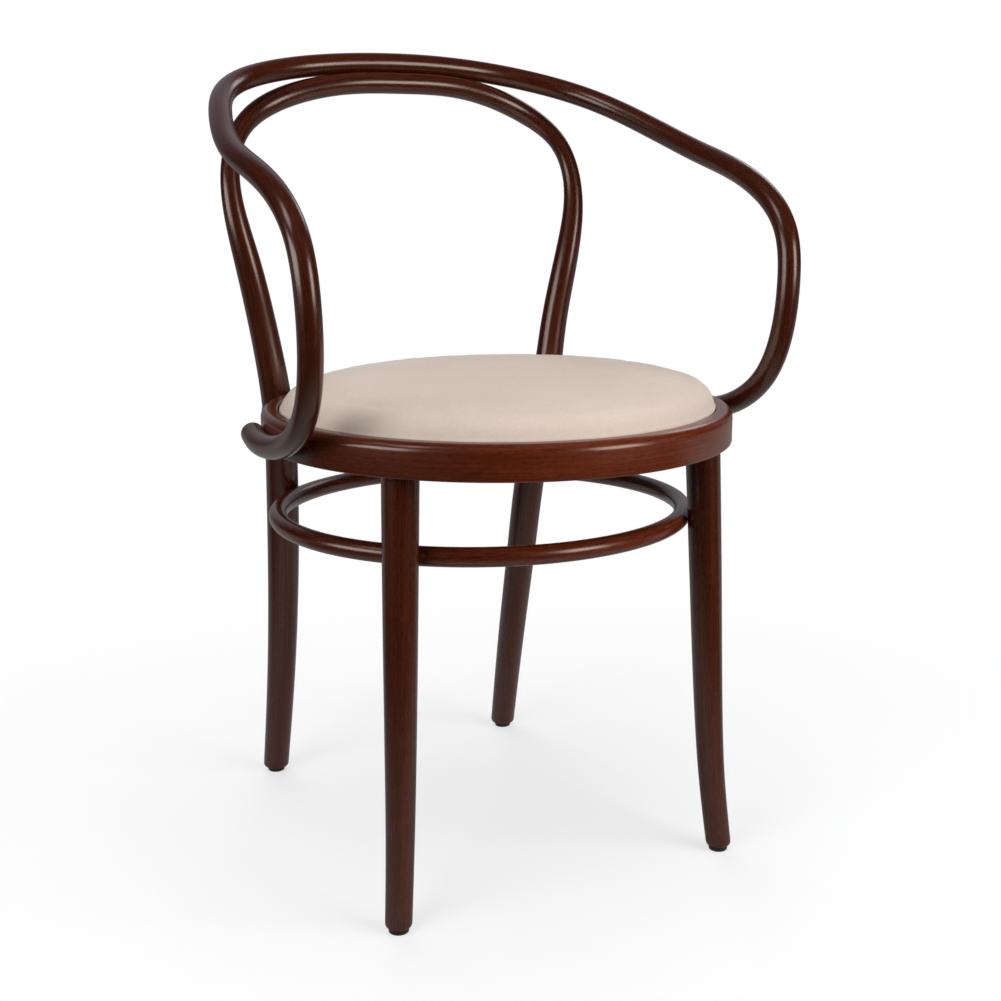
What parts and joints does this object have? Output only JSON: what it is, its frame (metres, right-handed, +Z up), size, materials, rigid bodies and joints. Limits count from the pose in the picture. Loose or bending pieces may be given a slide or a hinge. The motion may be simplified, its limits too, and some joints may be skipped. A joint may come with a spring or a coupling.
{
  "type": "bentwood armchair",
  "caption": "Bentwood armchair: one bent rod makes back rail and arms, a second makes inner arch and back legs; round seat ring with domed pad, oval stretcher ring below.",
  "frame": {"origin": "on the floor, under the middle of the chair's overall box", "axes": "+Z up, -Y the way the sitter faces, +X to the right as seen from the front; the chair is symmetric about X = 0"},
  "size_m": [0.5054, 0.4855, 0.7634],
  "materials": {
    "walnut_stained_beech": "satin",
    "cream_leather": "satin",
    "foam": "matte",
    "plywood": "matte",
    "dark_cloth": "matte",
    "steel": "satin",
    "dark_plastic": "matte"
  },
  "bodies": {
    "root": {"outer_bow": "walnut_stained_beech", "back_frame": "walnut_stained_beech", "front_leg_left": "walnut_stained_beech", "front_leg_right": "walnut_stained_beech", "seat_ring": "walnut_stained_beech", "stretcher_ring": "walnut_stained_beech", "seat_cover": "cream_leather", "seat_foam": "foam", "seat_board": "plywood", "dust_cover": "dark_cloth", "front_glide_left": "dark_plastic", "front_glide_right": "dark_plastic", "back_glide_left": "dark_plastic", "back_glide_right": "dark_plastic", "back_bolt_left": "steel", "back_bolt_right": "steel", "back_washer_left": "steel", "back_washer_right": "steel", "back_nut_left": "steel", "back_nut_right": "steel", "arm_screw_left_front": "steel", "arm_screw_left_rear": "steel", "arm_screw_right_front": "steel", "arm_screw_right_rear": "steel", "top_screw_left": "steel", "top_screw_right": "steel", "seat_screw_1": "steel", "seat_screw_2": "steel", "seat_screw_3": "steel", "seat_screw_4": "steel", "stretcher_screw_front_left": "steel", "stretcher_screw_front_right": "steel", "stretcher_screw_back_left": "steel", "stretcher_screw_back_right": "steel"}
  },
  "joints": []
}
